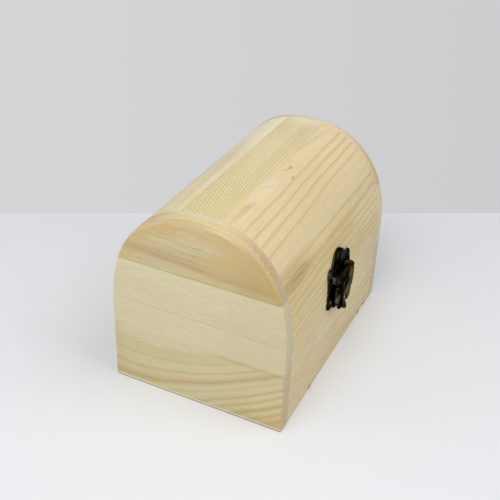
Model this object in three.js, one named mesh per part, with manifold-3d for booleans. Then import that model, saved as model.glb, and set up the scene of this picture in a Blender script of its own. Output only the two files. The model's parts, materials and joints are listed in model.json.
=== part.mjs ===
// Small pine treasure chest: straight base, arched lid built of staves between glued-up end
// boards, two surface hinges behind and a hasp latch in front.
// Millimetres. +X runs along the chest, the latch is on the -Y side and +Z is up.
// The origin is the centre of the underside.

import * as THREE from 'three';
import { mergeVertices } from 'three/addons/utils/BufferGeometryUtils.js';
import Module from 'manifold-3d';

const wasm = await Module();
wasm.setup();

// Box
const length = 116.5;
const depth = 80;
const height = 90;
const partingHeight = 43; // where the saw parted the lid from the base
const springDrop = 4; // from the parting line to where the upright walls turn into the arch
const archExponent = 2.28; // of the superellipse that the lid is sanded to
const endThickness = 6;
const wallThickness = 6;
const bottomThickness = 3;

// Lid
const staveEdgeThickness = 5; // at the glue joints, where a stave is thinnest
const staveJointShares = [0, 0.21, 0.445, 0.58, 0.79, 1]; // of the lid's arc, from the front
const endGlueLineRise = 20; // of the glue line between the two boards of an end
const bevelDrop = 2.5; // how far the sanded bevel comes down on the end's face
const bevelDepth = 3.3; // how far it comes in over the edge of the end board at the crown
const bevelLeast = 0.5; // how far it still comes in at the parting line
const bevelRampShares = [0.09, 0.2, 0.66, 0.79]; // of the arc: it starts, is full, fades, ends
const bevelFade = 3; // exponent by which its depth falls off from the crown
const bevelProfileShares = [[0, 0], [0.5, 0.42], [1, 1]]; // of its depth and of its drop

// Hinges
const hingeInset = 26.25; // of a hinge's middle, from the end of the chest
const hingeWidth = 16;
const hingeLeafHeight = 7.5;
const hingeLeafThickness = 0.7;
const hingeCorner = 1.2;
const hingeKnuckleRadius = 1.35;
const hingeKnuckleCount = 5;
const hingeNailSpacing = 9;
const hingeNailDrop = 4.6; // from the parting line

// Hasp
const haspOffset = -2.7; // off the middle of the chest, as it was nailed on
const haspHalfWidth = 12.6;
const haspEarRadius = 2.6; // of the rounded ears beside a plate's dome
const haspEarTurn = 130; // degrees of an ear's arc, down to its notch beside the dome
const haspSheet = 0.8;
const haspLidEar = 10.8; // height of the lid plate's ears
const haspLidDome = 4.9; // height of the dome over them
const haspBaseEar = 8.4;
const haspBaseDome = 3.8;
const haspDomeShare = 0.42; // of the ears' distance, where a dome turns over
const haspPartingGap = 0.5; // from the parting line to either plate
const haspKnuckleRadius = 1.6;
const haspAxisRise = 5.4; // of the flap's pin, over the parting line
const haspAxisStandoff = 2.65; // of the flap's pin, off the upright wall
const haspKnuckleHalf = 5.8; // half length of the flap's knuckle
const haspBarrelHalf = 8.5; // half length of the whole barrel
const flapThickness = 0.9;
const flapCrown = 0.5; // by which the flap's middle stands out over the edges of its wings
const flapBossHalf = 4.6; // of the boss that is embossed in the flap under its knuckle
const flapBossDrop = 5.6; // from the pin to the boss's lower edge
const flapBossRise = 0.6;
const flapBossSlope = 0.7; // by which the boss's top is smaller all round
const flapBossCorner = 1.2;
const flapWingHalf = 10.4;
const flapWingDrop = 10.9; // from the pin to the lower edge of the wings
const flapWingCorner = 3;
const flapShoulderCorner = 1.4;
const flapLobeHalf = 7.6;
const flapLength = 15.6; // from the pin to the lower edge of the lobes
const slotHalfWidth = 2.5;
const slotLength = 4.9;
const slotCorner = 0.8; // that leads the nose into the slot
const noseHalfWidth = 2.1;
const noseReach = 5.3; // off the wall
const noseDrop = 5; // from the parting line to its root
const noseLength = 6.2;
const noseDroopShare = 0.5; // of a section's reach, by which it hangs down
const noseShares = [ // of its length from the top, of its reach and of its half width
  [0, 0.17, 0.5], [0.12, 0.49, 0.75], [0.25, 0.74, 0.88], [0.37, 0.89, 0.95], [0.56, 0.98, 1],
  [0.74, 1, 1], [0.89, 0.95, 0.9], [1, 0.8, 0.65]];
const haspLidNailHalf = 10.5;
const haspLidNailRise = 8.4; // over the parting line
const haspBaseNailHalf = 9.8;
const haspBaseNailDrop = 4.9; // under the parting line

// Pins and nails
const pinRadius = 0.6;
const pinBoreRadius = 0.66;
const pinHeadRadius = 1;
const pinHeadLength = 0.5;
const nailShankRadius = 0.45;
const nailLength = 4.2; // inside the wood
const nailHeadRadius = 1.05;
const nailHeadHeight = 0.55;

// Clearances and steps
const seatGap = 0.05; // under a plate or a nail head
const runningGap = 0.3; // between knuckles, and round what swings
const nailGap = 0.1; // round a nail's shank
const overrun = 1; // by which a cutter passes the surface that it cuts
const archStep = 2; // longest facet of the arch
const plateStep = 2; // longest facet of a plate that follows the arch
const weldDistance = 1e-4;
const archSamples = 720;
const roundSides = 20;
const nailSides = 10;
const outlineSteps = 6; // along each curve of the flap's or a plate's outline
const noseDegrees = [0, 30, 60, 90, 120, 150, 180]; // round half of the nose
const cornerDegrees = [22.5, 45, 67.5, 90]; // steps round a leaf's corner
const crownSteps = 10; // across the crowned flap

// What follows from them
const halfLength = length / 2;
const halfDepth = depth / 2;
const innerHalfLength = halfLength - endThickness;
const innerHalfDepth = halfDepth - wallThickness;
const springHeight = partingHeight - springDrop;
const archRise = height - springHeight;

// Materials
const wood = (color) => new THREE.MeshStandardMaterial({ color, roughness: 0.75, metalness: 0 });
const metal = (color) => new THREE.MeshStandardMaterial({ color, roughness: 0.42, metalness: 0.85 });
const palePine = wood(0xdccb9b);
const brownPine = wood(0xcdb58a);
const stavePine = wood(0xd9c795);
const frontPine = wood(0xd1be8e);
const panelWood = wood(0xd8c49a);
const darkBronze = metal(0x2a2622);
const hingeBronze = metal(0x5a4a33);

// A closed geometry as a solid that can be cut and joined
function toSolid(geometry) {
  const bare = geometry.clone();
  bare.deleteAttribute('normal');
  bare.deleteAttribute('uv');
  const merged = mergeVertices(bare, weldDistance);
  const corners = merged.index.array;
  const kept = [];
  for (let i = 0; i < corners.length; i += 3) {
    const [a, b, c] = corners.slice(i, i + 3);
    if (a !== b && b !== c && c !== a) kept.push(a, b, c);
  }
  const vertProperties = merged.attributes.position.array;
  const mesh = new wasm.Mesh({ numProp: 3, vertProperties, triVerts: new Uint32Array(kept) });
  return new wasm.Manifold(mesh);
}

// A solid as a named mesh
function toMesh(name, solid, material) {
  const { vertProperties, triVerts } = solid.getMesh();
  const geometry = new THREE.BufferGeometry();
  geometry.setAttribute('position', new THREE.BufferAttribute(vertProperties, 3));
  geometry.setIndex(new THREE.BufferAttribute(triVerts, 1));
  geometry.computeVertexNormals();
  const mesh = new THREE.Mesh(geometry, material);
  mesh.name = name;
  return mesh;
}

// A box between two corners
function block(low, high) {
  const size = high.map((value, i) => value - low[i]);
  const middle = high.map((value, i) => (value + low[i]) / 2);
  return toSolid(new THREE.BoxGeometry(...size).translate(...middle));
}

// A round bar along X
function bar(radius, fromX, toX, y, z, sides = roundSides) {
  const geometry = new THREE.CylinderGeometry(radius, radius, toX - fromX, sides);
  return toSolid(geometry.rotateZ(Math.PI / 2).translate((fromX + toX) / 2, y, z));
}

// A section of (Y, Z) points drawn out along X
function alongX(section, fromX, toX) {
  const shape = new THREE.Shape(section.map((p) => new THREE.Vector2(p.y, p.z)));
  const geometry = new THREE.ExtrudeGeometry(shape, { depth: toX - fromX, bevelEnabled: false });
  const turn = new THREE.Matrix4().makeBasis(
    new THREE.Vector3(0, 1, 0), new THREE.Vector3(0, 0, 1), new THREE.Vector3(1, 0, 0));
  return toSolid(geometry.applyMatrix4(turn).translate(fromX, 0, 0));
}

// A solid through convex rings of equal point counts, which turn right-handed about the way on
function loft(rings) {
  const count = rings[0].length;
  const last = (rings.length - 1) * count;
  const index = [];
  for (let r = 0; r + 1 < rings.length; r += 1) {
    for (let i = 0; i < count; i += 1) {
      const a = r * count + i;
      const b = r * count + (i + 1) % count;
      index.push(a, b, b + count, a, b + count, a + count);
    }
  }
  for (let i = 1; i + 1 < count; i += 1) {
    index.push(0, i + 1, i);
    index.push(last, last + i, last + i + 1);
  }
  const geometry = new THREE.BufferGeometry().setFromPoints(rings.flat());
  geometry.setIndex(index);
  return toSolid(geometry);
}

// The sanded outline of the chest's section: up the front wall, over the arch, down the back
// wall. Every place on it is given by its distance from the front bottom edge.
const outline = [{ y: -halfDepth, z: 0, at: 0 }];
for (let i = 0; i <= archSamples; i += 1) {
  const turn = Math.PI * i / archSamples;
  const across = Math.cos(turn);
  const y = -halfDepth * Math.sign(across) * Math.abs(across) ** (2 / archExponent);
  const z = springHeight + archRise * Math.abs(Math.sin(turn)) ** (2 / archExponent);
  addToOutline(y, z);
}
addToOutline(halfDepth, 0);
const outlineLength = outline.at(-1).at;

function addToOutline(y, z) {
  const before = outline.at(-1);
  outline.push({ y, z, at: before.at + Math.hypot(y - before.y, z - before.z) });
}

// The point of the outline at a distance, with its outward normal
function surfaceAt(distance) {
  let i = outline.findIndex((p) => p.at > distance);
  if (i < 1) i = i === 0 ? 1 : outline.length - 1;
  const [a, b] = [outline[i - 1], outline[i]];
  const span = b.at - a.at;
  const share = (distance - a.at) / span;
  const along = { y: (b.y - a.y) / span, z: (b.z - a.z) / span };
  const point = { y: a.y + (b.y - a.y) * share, z: a.z + (b.z - a.z) * share };
  return { ...point, normal: { y: -along.z, z: along.y } };
}

// How far along the outline the front wall or the arch reaches a height
function frontDistance(z) {
  const i = outline.findIndex((p) => p.z >= z);
  const [a, b] = [outline[i - 1], outline[i]];
  return a.at + (b.at - a.at) * (z - a.z) / (b.z - a.z);
}

function offOutline(distance, standoff) {
  const p = surfaceAt(distance);
  return { y: p.y + p.normal.y * standoff, z: p.z + p.normal.z * standoff };
}

const lidStart = frontDistance(partingHeight);
const lidEnd = outlineLength - lidStart;
const lidArc = lidEnd - lidStart;
const staveJoints = staveJointShares.map((share) => lidStart + lidArc * share);

// Distances along the outline between two places, in steps no longer than a limit
function stations(from, to, step) {
  const count = Math.max(1, Math.ceil(Math.abs(to - from) / step));
  return Array.from({ length: count + 1 }, (_, i) => from + (to - from) * i / count);
}

// Base: four boards round a thin bottom panel. The end boards cover the other boards' ends.
function baseSection(fromY, toY) {
  const outer = stations(frontDistance(springHeight), lidStart, archStep).map(surfaceAt);
  const curved = outer.map((p) => ({ y: fromY + halfDepth + p.y, z: p.z }));
  return [{ y: fromY, z: 0 }, ...curved, { y: toY, z: partingHeight }, { y: toY, z: 0 }];
}

function mirrored(section) {
  return section.map((p) => ({ y: -p.y, z: p.z }));
}

function baseBoards() {
  const wall = baseSection(-halfDepth, -innerHalfDepth);
  const half = baseSection(-halfDepth, 0).slice(0, -2);
  const end = [...half, ...mirrored(half).reverse()];
  const panelLow = [-innerHalfLength, -innerHalfDepth, 0];
  const panelHigh = [innerHalfLength, innerHalfDepth, bottomThickness];
  const holesInFront = nailHoles(haspBaseNails);
  const holesInBack = nailHoles(hingeBaseNails);
  return [
    toMesh('base_end_left', alongX(end, -halfLength, -innerHalfLength), palePine),
    toMesh('base_end_right', alongX(end, innerHalfLength, halfLength), palePine),
    toMesh('base_front',
      alongX(wall, -innerHalfLength, innerHalfLength).subtract(holesInFront), frontPine),
    toMesh('base_back',
      alongX(mirrored(wall), -innerHalfLength, innerHalfLength).subtract(holesInBack), frontPine),
    toMesh('base_bottom', block(panelLow, panelHigh), panelWood),
  ];
}

// Lid: staves with flat inner faces, mitred to each other along the arch's normals. The first
// and the last stand on the base's walls.
function staveInner(distance) {
  if (distance === lidStart) return { y: -innerHalfDepth, z: partingHeight };
  if (distance === lidEnd) return { y: innerHalfDepth, z: partingHeight };
  return offOutline(distance, -staveEdgeThickness);
}

function stave(from, to) {
  const outer = stations(from, to, archStep).map(surfaceAt);
  const section = [...outer, staveInner(to), staveInner(from)];
  return alongX(section, -innerHalfLength, innerHalfLength);
}

// The bevel's two legs at a place on the arch
function bevelAt(distance) {
  const share = (distance - lidStart) / lidArc;
  const [starts, full, fades, ends] = bevelRampShares;
  const { smoothstep } = THREE.MathUtils;
  const ramp = smoothstep(share, starts, full) * (1 - smoothstep(share, fades, ends));
  const crown = Math.max(0, Math.sin(Math.PI * share)) ** bevelFade;
  return { drop: bevelDrop * ramp, depth: bevelLeast + (bevelDepth - bevelLeast) * ramp * crown };
}

// An end of the lid is bevelled over its arched edge, down to the glue line in front
function lidEndPanel(side) {
  const places = staveJoints.slice(1).flatMap((joint, i) =>
    stations(staveJoints[i], joint, archStep).slice(i === 0 ? 0 : 1));
  const ring = (sectionAt) => places.map((distance) => {
    const { inset, down } = sectionAt(bevelAt(distance));
    const p = offOutline(distance, -down);
    return new THREE.Vector3(side * (halfLength - inset), p.y, p.z);
  });
  const rings = bevelProfileShares.map(([out, down]) =>
    ring((bevel) => ({ inset: bevel.depth * (1 - out), down: bevel.drop * down })));
  rings.unshift(ring(() => ({ inset: endThickness, down: 0 })));
  return loft(side > 0 ? rings.reverse() : rings);
}

function lidBoards() {
  const names = ['lid_front_board', 'lid_front_stave', 'lid_crown_stave', 'lid_back_stave',
    'lid_back_board'];
  const holes = { lid_front_board: haspLidNails, lid_back_board: hingeLidNails };
  const staves = names.map((name, i) => {
    const solid = stave(staveJoints[i], staveJoints[i + 1]);
    const cut = holes[name] ? solid.subtract(nailHoles(holes[name])) : solid;
    return toMesh(name, cut, name.endsWith('board') ? frontPine : stavePine);
  });
  const glueLine = partingHeight + endGlueLineRise;
  const upper = block([-length, -depth, glueLine], [length, depth, height + overrun]);
  const ends = [['left', -1], ['right', 1]].flatMap(([side, sign]) => {
    const panel = lidEndPanel(sign);
    return [
      toMesh(`lid_end_${side}_lower`, panel.subtract(upper), palePine),
      toMesh(`lid_end_${side}_upper`, panel.intersect(upper), brownPine),
    ];
  });
  return [...staves, ...ends];
}

// A thin plate that lies on the chest's curved wall. Its half width is given along its height,
// which runs up (way 1) or down (way -1) the outline from a start.
function wallPlate(centreX, start, way, rows, thickness) {
  const rings = rows.map(([rise, halfWidth]) => {
    const inner = offOutline(start + way * rise, seatGap);
    const outer = offOutline(start + way * rise, seatGap + thickness);
    return [
      new THREE.Vector3(centreX - halfWidth, inner.y, inner.z),
      new THREE.Vector3(centreX + halfWidth, inner.y, inner.z),
      new THREE.Vector3(centreX + halfWidth, outer.y, outer.z),
      new THREE.Vector3(centreX - halfWidth, outer.y, outer.z),
    ];
  });
  return loft(way > 0 ? rings.reverse() : rings);
}

// Half widths of a leaf with straight sides and rounded corners
function leafRows(halfWidth, corner, leafHeight) {
  const rows = stations(0, leafHeight - corner, plateStep).map((rise) => [rise, halfWidth]);
  for (const turn of cornerDegrees.map(THREE.MathUtils.degToRad)) {
    rows.push([leafHeight - corner * (1 - Math.sin(turn)),
      halfWidth - corner * (1 - Math.cos(turn))]);
  }
  return rows;
}

// Nails stand square to the wall. A place is its X and its distance along the outline.
const hingeCentres = [hingeInset - halfLength, halfLength - hingeInset];
const besideHinges = (distance) => hingeCentres.flatMap((x) =>
  [-1, 1].map((side) => ({ x: x + side * hingeNailSpacing / 2, distance })));
const besideHasp = (half, distance) =>
  [-1, 1].map((side) => ({ x: haspOffset + side * half, distance }));
const hingeBaseNails = besideHinges(lidEnd + hingeNailDrop);
const hingeLidNails = besideHinges(lidEnd - hingeNailDrop);
const haspBaseNails = besideHasp(haspBaseNailHalf, lidStart - haspBaseNailDrop);
const haspLidNails = besideHasp(haspLidNailHalf, lidStart + haspLidNailRise);

function squareToWall({ x, distance }) {
  const p = surfaceAt(distance);
  const out = new THREE.Vector3(0, p.normal.y, p.normal.z);
  const along = new THREE.Vector3(1, 0, 0);
  const across = new THREE.Vector3().crossVectors(along, out);
  return new THREE.Matrix4().makeBasis(along, out, across).setPosition(x, p.y, p.z);
}

function joined(solids) {
  return solids.reduce((sum, solid) => sum.add(solid));
}

// Cutters for the nails' holes: through a plate, and as deep as the nails go into the wood
function nailHoles(places) {
  const deep = nailLength + nailGap + 2 * overrun;
  const radius = nailShankRadius + nailGap;
  return joined(places.map((place) => {
    const hole = new THREE.CylinderGeometry(radius, radius, deep, nailSides);
    hole.translate(0, 2 * overrun - deep / 2, 0);
    return toSolid(hole.applyMatrix4(squareToWall(place)));
  }));
}

function nails(name, places, plateThickness, material) {
  const seat = plateThickness + 2 * seatGap;
  const profile = [
    [0, -nailLength], [nailShankRadius, -nailLength + nailShankRadius],
    [nailShankRadius, seat], [nailHeadRadius, seat],
    [nailHeadRadius * Math.cos(Math.PI / 6), seat + nailHeadHeight / 2],
    [nailHeadRadius / 2, seat + nailHeadHeight * Math.sin(Math.PI / 3)], [0, seat + nailHeadHeight],
  ].map(([radius, rise]) => new THREE.Vector2(radius, rise));
  return places.map((place, i) => {
    const nail = new THREE.LatheGeometry(profile, nailSides).applyMatrix4(squareToWall(place));
    return toMesh(`${name}_${i + 1}`, toSolid(nail), material);
  });
}

// A pin along X with a small head at both ends
function pin(centreX, halfSpan, y, z) {
  const profile = [
    [0, -halfSpan - pinHeadLength], [pinHeadRadius / 2, -halfSpan - pinHeadLength],
    [pinHeadRadius, -halfSpan - pinHeadLength / 2], [pinHeadRadius, -halfSpan],
    [pinRadius, -halfSpan], [pinRadius, halfSpan], [pinHeadRadius, halfSpan],
    [pinHeadRadius, halfSpan + pinHeadLength / 2], [pinHeadRadius / 2, halfSpan + pinHeadLength],
    [0, halfSpan + pinHeadLength],
  ].map(([radius, along]) => new THREE.Vector2(radius, along));
  const geometry = new THREE.LatheGeometry(profile, roundSides);
  return toSolid(geometry.rotateZ(Math.PI / 2).translate(centreX, y, z));
}

// Hinges: two leaves of stamped sheet on the back, with alternate knuckles rolled round a pin.
// The pin lies over the parting line, clear of the wood by the knuckles' radius.
const hingeAxisY = halfDepth + hingeKnuckleRadius + seatGap * 2;
const knucklePitch = hingeWidth / hingeKnuckleCount;

function hingeLeaf(centreX, way, first) {
  const start = hingeKnuckleRadius + runningGap;
  const edge = lidEnd - way * start;
  const rows = leafRows(hingeWidth / 2, hingeCorner, hingeLeafHeight - start);
  const plate = wallPlate(centreX, edge, -way, rows, hingeLeafThickness);
  const pieces = [plate];
  const reach = way * (start + seatGap);
  for (let k = first; k < hingeKnuckleCount; k += 2) {
    const gapLow = k === 0 ? 0 : runningGap / 2;
    const gapHigh = k === hingeKnuckleCount - 1 ? 0 : runningGap / 2;
    const fromX = centreX - hingeWidth / 2 + k * knucklePitch + gapLow;
    const toX = centreX - hingeWidth / 2 + (k + 1) * knucklePitch - gapHigh;
    pieces.push(bar(hingeKnuckleRadius, fromX, toX, hingeAxisY, partingHeight));
    const heights = [partingHeight, partingHeight + reach].sort((a, b) => a - b);
    const low = [fromX, halfDepth + seatGap, heights[0]];
    const high = [toX, halfDepth + seatGap + hingeLeafThickness, heights[1]];
    pieces.push(block(low, high));
  }
  const bore = bar(pinBoreRadius, centreX - hingeWidth, centreX + hingeWidth, hingeAxisY,
    partingHeight);
  const holes = nailHoles(besideHinges(lidEnd - way * hingeNailDrop));
  return joined(pieces).subtract(bore).subtract(holes);
}

function hinges() {
  const sides = [['left', hingeCentres[0]], ['right', hingeCentres[1]]];
  const parts = sides.flatMap(([side, x]) => [
    toMesh(`hinge_${side}_base_leaf`, hingeLeaf(x, -1, 0), hingeBronze),
    toMesh(`hinge_${side}_lid_leaf`, hingeLeaf(x, 1, 1), hingeBronze),
    toMesh(`hinge_${side}_pin`, pin(x, hingeWidth / 2 + seatGap, hingeAxisY, partingHeight),
      hingeBronze),
  ]);
  parts.push(...nails('hinge_base_nail', hingeBaseNails, hingeLeafThickness, hingeBronze));
  parts.push(...nails('hinge_lid_nail', hingeLidNails, hingeLeafThickness, hingeBronze));
  return parts;
}

// Hasp: a plate on the lid carries the flap on a pin, and the flap's open slot straddles the
// nose of the plate on the base.
const haspAxisY = -halfDepth - haspAxisStandoff;
const haspAxisHeight = partingHeight + haspAxisRise;

// What a piece of hardware keeps when the wall behind it is cut away
function clearOfWall(solid) {
  const section = stations(0, outlineLength, plateStep).map((at) => offOutline(at, seatGap));
  return solid.subtract(alongX(section, -length, length));
}

// A whole outline of X and height from its right half, turned upside down if way is -1
function symmetrical(half, way = 1) {
  const points = half.getPoints(outlineSteps).map((p) => new THREE.Vector2(p.x, way * p.y));
  const others = points.map((p) => new THREE.Vector2(-p.x, p.y)).reverse();
  return new THREE.Shape(points.concat(others.filter((p) => p.x < 0)));
}

// A block with such an outline, which reaches back from its front
function stamped(shape, fromHeight, frontY, deep, bevel = { bevelEnabled: false }) {
  const geometry = new THREE.ExtrudeGeometry(shape, { depth: deep, ...bevel });
  geometry.applyMatrix4(new THREE.Matrix4().makeBasis(
    new THREE.Vector3(1, 0, 0), new THREE.Vector3(0, 0, 1), new THREE.Vector3(0, -1, 0)));
  return toSolid(geometry.translate(haspOffset, frontY + deep, fromHeight));
}

// A plate that runs up (way 1) or down (way -1) from the parting line, with a straight edge
// there, an ear at each far corner and a dome between the ears
function haspPlate(way, ear, dome) {
  const earMiddle = haspHalfWidth - haspEarRadius;
  const earTurn = THREE.MathUtils.degToRad(haspEarTurn);
  const half = new THREE.Path();
  half.moveTo(haspHalfWidth, 0);
  half.lineTo(haspHalfWidth, ear - haspEarRadius);
  half.absarc(earMiddle, ear - haspEarRadius, haspEarRadius, 0, earTurn, false);
  half.quadraticCurveTo(haspDomeShare * earMiddle, ear + dome, 0, ear + dome);
  const edge = partingHeight + way * haspPartingGap;
  const front = -halfDepth - haspSheet - overrun;
  const blank = stamped(symmetrical(half, way), edge, front, wallThickness);
  const rows = stations(0, ear + dome + overrun, plateStep).map((rise) =>
    [rise, haspHalfWidth + overrun]);
  return wallPlate(haspOffset, lidStart + way * haspPartingGap, way, rows, haspSheet)
    .intersect(blank);
}

function haspLidPlate() {
  const pieces = [haspPlate(1, haspLidEar, haspLidDome)];
  for (const side of [-1, 1]) {
    const inner = haspOffset + side * (haspKnuckleHalf + runningGap);
    const outer = haspOffset + side * haspBarrelHalf;
    const [fromX, toX] = [Math.min(inner, outer), Math.max(inner, outer)];
    pieces.push(bar(haspKnuckleRadius, fromX, toX, haspAxisY, haspAxisHeight));
    pieces.push(block([fromX, haspAxisY, haspAxisHeight - haspKnuckleRadius],
      [toX, -innerHalfDepth, haspAxisHeight + haspKnuckleRadius]));
  }
  const bore = bar(pinBoreRadius, haspOffset - haspHalfWidth, haspOffset + haspHalfWidth,
    haspAxisY, haspAxisHeight);
  return clearOfWall(joined(pieces)).subtract(bore).subtract(nailHoles(haspLidNails));
}

// The nose that the flap drops over: a bridge that rises from the plate and droops to a blunt
// tip. Its sections are half ellipses that start inside the sheet.
function haspNose() {
  const root = -halfDepth - haspSheet / 2;
  const rings = noseShares.map(([down, reach, width]) => {
    const z = partingHeight - noseDrop - noseLength * down;
    return noseDegrees.map(THREE.MathUtils.degToRad).map((turn) => {
      const out = (noseReach * reach - haspSheet / 2) * Math.sin(turn);
      const x = haspOffset - noseHalfWidth * width * Math.cos(turn);
      return new THREE.Vector3(x, root - out, z - noseDroopShare * out);
    });
  });
  return loft(rings.reverse());
}

function haspBasePlate() {
  const plate = haspPlate(-1, haspBaseEar, haspBaseDome);
  return plate.subtract(nailHoles(haspBaseNails)).add(haspNose());
}

// The flap's outline, symmetrical about its slot: square shoulders under the lid plate's
// knuckles, a round wing on each side, and two lobes with the slot open between them
function flapOutline() {
  const top = haspAxisHeight - haspKnuckleRadius - runningGap;
  const wing = haspAxisHeight - flapWingDrop;
  const bottom = haspAxisHeight - flapLength;
  const slotTop = bottom + slotLength;
  const lobeMiddle = (flapLobeHalf + slotHalfWidth) / 2;
  const half = new THREE.Path();
  half.moveTo(haspKnuckleHalf, haspAxisHeight);
  half.lineTo(haspKnuckleHalf, top);
  half.lineTo(flapWingHalf - flapShoulderCorner, top);
  half.quadraticCurveTo(flapWingHalf, top, flapWingHalf, top - flapShoulderCorner);
  half.lineTo(flapWingHalf, wing + flapWingCorner);
  half.quadraticCurveTo(flapWingHalf, wing, flapLobeHalf, wing);
  half.quadraticCurveTo(flapLobeHalf, bottom, lobeMiddle, bottom);
  half.lineTo(slotHalfWidth + slotCorner, bottom);
  half.quadraticCurveTo(slotHalfWidth, bottom, slotHalfWidth, bottom + slotCorner);
  half.lineTo(slotHalfWidth, slotTop - slotHalfWidth);
  half.absarc(0, slotTop - slotHalfWidth, slotHalfWidth, 0, Math.PI / 2, false);
  return symmetrical(half);
}

// The sheet that the flap is cut from, crowned across its width about an upright axis
function crownedSheet(fromZ, toZ) {
  const radius = (flapWingHalf ** 2 + flapCrown ** 2) / (2 * flapCrown);
  const widest = Math.asin((flapWingHalf + overrun) / radius);
  const middle = haspAxisY - haspKnuckleRadius + radius;
  const arc = (r) => Array.from({ length: crownSteps + 1 }, (_, i) => {
    const turn = widest * (2 * i / crownSteps - 1);
    return new THREE.Vector2(haspOffset + r * Math.sin(turn), middle - r * Math.cos(turn));
  });
  const shape = new THREE.Shape([...arc(radius), ...arc(radius - flapThickness).reverse()]);
  const geometry = new THREE.ExtrudeGeometry(shape, { depth: toZ - fromZ, bevelEnabled: false });
  return toSolid(geometry.translate(0, 0, fromZ));
}

// The boss, a rounded rectangle with sloping sides that stands out from the flap
function flapBoss() {
  const top = haspAxisHeight - haspKnuckleRadius;
  const bottom = haspAxisHeight - flapBossDrop;
  const right = flapBossHalf - flapBossCorner;
  const [low, high] = [bottom + flapBossCorner, top - flapBossCorner];
  const shape = new THREE.Shape();
  [[right, high], [-right, high], [-right, low], [right, low]].forEach(([x, z], i) =>
    shape.absarc(x, z, flapBossCorner, i * Math.PI / 2, (i + 1) * Math.PI / 2, false));
  const inside = (flapThickness - flapBossRise) / 2;
  return stamped(shape, 0, haspAxisY - haspKnuckleRadius, inside, {
    bevelThickness: flapBossRise, bevelSize: flapBossSlope, bevelOffset: -flapBossSlope,
    bevelSegments: 1, curveSegments: outlineSteps,
  });
}

function haspFlap() {
  const front = haspAxisY - haspKnuckleRadius - overrun;
  const deep = flapThickness + flapCrown + 2 * overrun;
  const blank = stamped(flapOutline(), 0, front, deep);
  const crowned = crownedSheet(haspAxisHeight - flapLength - overrun, haspAxisHeight);
  const [fromX, toX] = [haspOffset - haspKnuckleHalf, haspOffset + haspKnuckleHalf];
  const knuckle = bar(haspKnuckleRadius, fromX, toX, haspAxisY, haspAxisHeight);
  const bore = bar(pinBoreRadius, fromX - overrun, toX + overrun, haspAxisY, haspAxisHeight);
  return blank.intersect(crowned).add(flapBoss()).add(knuckle).subtract(bore);
}

function hasp() {
  return [
    toMesh('hasp_lid_plate', haspLidPlate(), darkBronze),
    toMesh('hasp_flap', haspFlap(), darkBronze),
    toMesh('hasp_pin', pin(haspOffset, haspBarrelHalf + seatGap, haspAxisY, haspAxisHeight),
      darkBronze),
    toMesh('hasp_base_plate', haspBasePlate(), darkBronze),
    ...nails('hasp_lid_nail', haspLidNails, haspSheet, darkBronze),
    ...nails('hasp_base_nail', haspBaseNails, haspSheet, darkBronze),
  ];
}

const chest = new THREE.Group();
chest.add(...baseBoards(), ...lidBoards(), ...hinges(), ...hasp());

export default chest;
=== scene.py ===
import json
import math

import bpy
from mathutils import Matrix, Vector

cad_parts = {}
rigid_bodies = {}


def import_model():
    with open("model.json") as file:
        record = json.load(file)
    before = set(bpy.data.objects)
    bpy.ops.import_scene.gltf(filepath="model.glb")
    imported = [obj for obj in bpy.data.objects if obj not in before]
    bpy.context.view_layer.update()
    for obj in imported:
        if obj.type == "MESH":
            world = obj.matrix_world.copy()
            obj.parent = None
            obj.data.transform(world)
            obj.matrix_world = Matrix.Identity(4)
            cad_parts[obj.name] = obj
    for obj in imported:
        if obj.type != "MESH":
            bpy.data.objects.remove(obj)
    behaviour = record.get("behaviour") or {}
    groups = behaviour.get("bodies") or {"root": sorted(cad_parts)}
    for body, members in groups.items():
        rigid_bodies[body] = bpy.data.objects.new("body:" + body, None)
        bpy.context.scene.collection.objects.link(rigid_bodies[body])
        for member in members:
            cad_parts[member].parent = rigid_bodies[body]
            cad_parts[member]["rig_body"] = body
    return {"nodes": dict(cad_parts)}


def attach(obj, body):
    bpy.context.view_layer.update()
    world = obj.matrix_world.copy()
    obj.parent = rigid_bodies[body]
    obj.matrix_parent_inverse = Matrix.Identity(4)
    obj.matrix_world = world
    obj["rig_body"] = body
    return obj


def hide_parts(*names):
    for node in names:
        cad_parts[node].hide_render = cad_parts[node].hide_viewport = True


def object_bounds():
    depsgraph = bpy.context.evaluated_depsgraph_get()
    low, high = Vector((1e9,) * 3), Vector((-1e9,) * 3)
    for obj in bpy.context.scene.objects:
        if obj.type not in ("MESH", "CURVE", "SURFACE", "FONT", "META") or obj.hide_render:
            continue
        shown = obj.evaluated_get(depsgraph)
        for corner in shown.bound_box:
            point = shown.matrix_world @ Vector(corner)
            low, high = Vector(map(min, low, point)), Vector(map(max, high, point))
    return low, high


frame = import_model()
cad_low, cad_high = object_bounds()

MM = 0.001


def box_of(node):
    """The lowest and the highest corner of a CAD node"""
    corners = frame["nodes"][node].bound_box
    return Vector(corners[0]) / MM, Vector(corners[6]) / MM


# The chest's main sizes
HALF_LENGTH = cad_high.x / MM
HALF_DEPTH = box_of("base_end_left")[1].y
CROWN = cad_high.z / MM
PARTING = box_of("base_end_left")[1].z
END_GLUE_LINE = box_of("lid_end_left_upper")[0].z
PANEL_TOP = box_of("base_bottom")[1].z

# The lid's arch, as in the CAD source
SPRING = PARTING - 4.0  # where the upright walls turn into the arch
ARCH_EXPONENT = 2.28
ARCH_STEPS = 720
STAVE_JOINTS = (0, 0.21, 0.445, 0.58, 0.79, 1)  # shares of the lid's arc, from the front

# How far edges are eased, and how they are told apart
CORNER_ARRIS = 0.4
FOOT_ARRIS = 0.5
PARTING_ARRIS = 0.12
GLUED_ARRIS = 0.07
HASP_ARRIS = 0.18
HINGE_ARRIS = 0.12
ARRIS_SEGMENTS = 3
EDGE_ANGLE = math.radians(25)
SMOOTH_ANGLE = math.radians(28)
FLAT_ANGLE = math.radians(0.8)
MERGED = 0.002
TOUCHING = 0.01

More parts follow.
